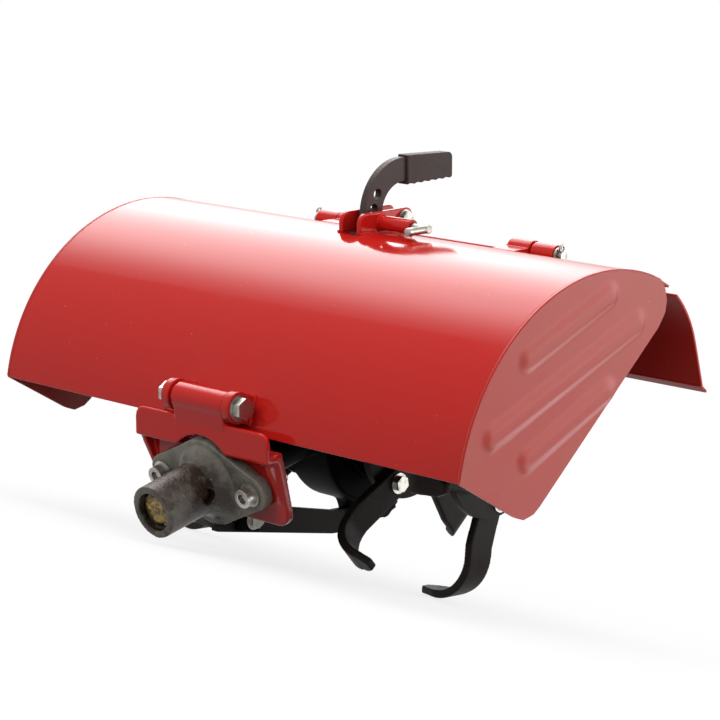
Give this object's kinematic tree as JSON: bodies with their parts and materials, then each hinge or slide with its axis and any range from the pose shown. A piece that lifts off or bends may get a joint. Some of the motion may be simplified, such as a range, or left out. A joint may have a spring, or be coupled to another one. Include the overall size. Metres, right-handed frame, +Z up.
{
  "type": "rotary tiller attachment",
  "caption": "Rotary tiller attachment for a walk-behind tractor: tined reel under a hinged rounded hood with rear flap, depth lever and front coupling spigot.",
  "frame": {"origin": "centre of the coupling spigot's end", "axes": "+X along the reel's axle to the machine's left as it works, +Y rearward, +Z up with the machine parked on its tines and the spigot's end"},
  "size_m": [0.605, 0.3923, 0.4187],
  "materials": {
    "red_paint": "glossy red paint on steel sheet",
    "black_casting": "satin black paint on a casting",
    "black_steel": "matt black paint on forged steel",
    "raw_casting": "oiled raw casting",
    "greased_steel": "machined steel under grease",
    "zinc": "zinc-plated fasteners",
    "grip_plastic": "dark grey moulded grip"
  },
  "bodies": {
    "chassis": {"gear_case": "black_casting", "bearing_cap_left": "black_casting", "bearing_cap_right": "black_casting", "coupling_flange": "raw_casting", "flange_screws": "zinc", "hood_bracket": "red_paint", "hinge_bolt": "zinc", "depth_skid": "black_steel", "skid_bolts": "zinc", "lever_pivot": "zinc"},
    "input_shaft": {"input_shaft": "greased_steel"},
    "rotor": {"axle": "black_steel", "reel_left": "black_steel", "reel_right": "black_steel", "tines_left_inner": "black_steel", "tines_left_outer": "black_steel", "tines_right_inner": "black_steel", "tines_right_outer": "black_steel", "tine_bolts_left": "zinc", "tine_bolts_right": "zinc"},
    "hood": {"hood_shell": "red_paint", "end_panel_left": "red_paint", "end_panel_right": "red_paint", "hood_ears": "red_paint", "lever_guides": "red_paint", "guide_bolt": "zinc", "pin_tube": "red_paint", "lock_pin": "zinc", "hood_knuckles": "red_paint", "flap_pins": "zinc"},
    "flap": {"flap": "red_paint", "flap_knuckles": "red_paint"},
    "lever": {"depth_lever": "black_steel", "lever_grip": "grip_plastic"}
  },
  "joints": [
    {"name": "rotor_spin", "type": "hinge", "parent": "chassis", "child": "rotor", "pos_m": [0, 0.23976, 0.11304], "axis": [1, 0, 0], "continuous": true},
    {"name": "input_spin", "type": "hinge", "parent": "chassis", "child": "input_shaft", "pos_m": [0, 0, 0], "axis": [0, -0.8573, -0.5148], "continuous": true},
    {"name": "hood_tilt", "type": "hinge", "parent": "chassis", "child": "hood", "pos_m": [0, 0.03433, 0.1079], "axis": [1, 0, 0], "range_deg": [0, 8]},
    {"name": "lever_swing", "type": "hinge", "parent": "chassis", "child": "lever", "pos_m": [0, 0.19994, 0.19684], "axis": [1, 0, 0], "range_deg": [0, 12.49]},
    {"name": "flap_lift", "type": "hinge", "parent": "hood", "child": "flap", "pos_m": [0, 0.28927, 0.30991], "axis": [1, 0, 0], "range_deg": [0, 70]}
  ],
  "couplings": [
    {"joint": "input_spin", "follows": "rotor_spin", "ratio": 3.2},
    {"joint": "lever_swing", "follows": "hood_tilt", "ratio": 1.524}
  ]
}
